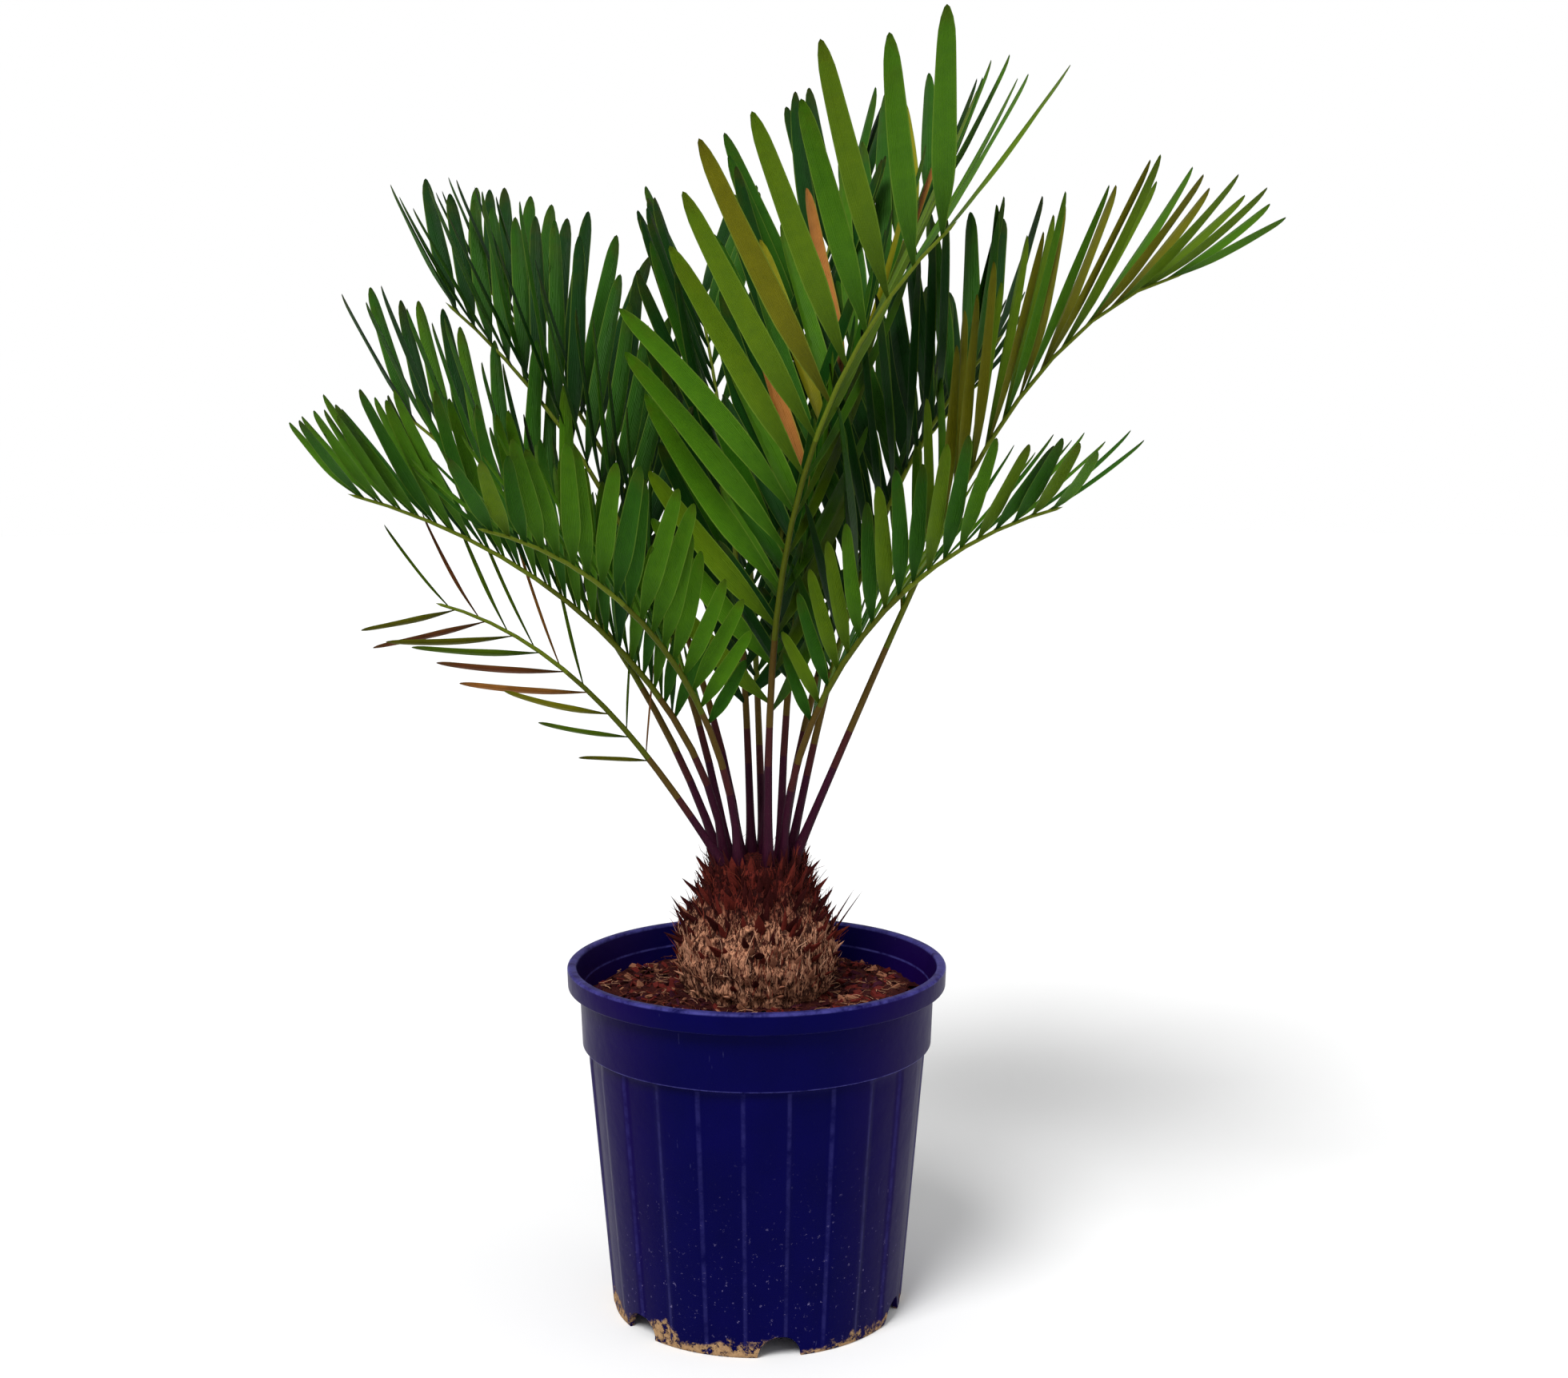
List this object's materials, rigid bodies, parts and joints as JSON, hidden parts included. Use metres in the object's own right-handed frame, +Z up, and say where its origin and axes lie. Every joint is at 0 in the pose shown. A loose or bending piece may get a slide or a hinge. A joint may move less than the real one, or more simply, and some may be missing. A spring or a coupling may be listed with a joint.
{
  "type": "potted coontie palm",
  "caption": "Squat fibrous caudex with an open crown of feathered fronds, standing in a round fluted nursery pot filled with bark mix.",
  "frame": {"origin": "centre of the pot's flat underside, on the surface that it stands on", "axes": "+Z up along the pot's axis, +X to the right and +Y away from someone who faces the plant's front"},
  "size_m": [0.6367, 0.5486, 0.8676],
  "materials": {
    "pot_plastic": "satin",
    "potting_mix": "matte",
    "caudex": "matte",
    "frond": "satin"
  },
  "bodies": {
    "root": {"pot": "pot_plastic", "potting_mix": "potting_mix", "caudex": "caudex", "frond_01": "frond", "frond_02": "frond", "frond_03": "frond", "frond_04": "frond", "frond_05": "frond", "frond_06": "frond", "frond_07": "frond", "frond_08": "frond", "frond_09": "frond", "frond_10": "frond", "frond_11": "frond", "frond_12": "frond", "frond_13": "frond", "frond_14": "frond", "frond_15": "frond"}
  },
  "joints": []
}
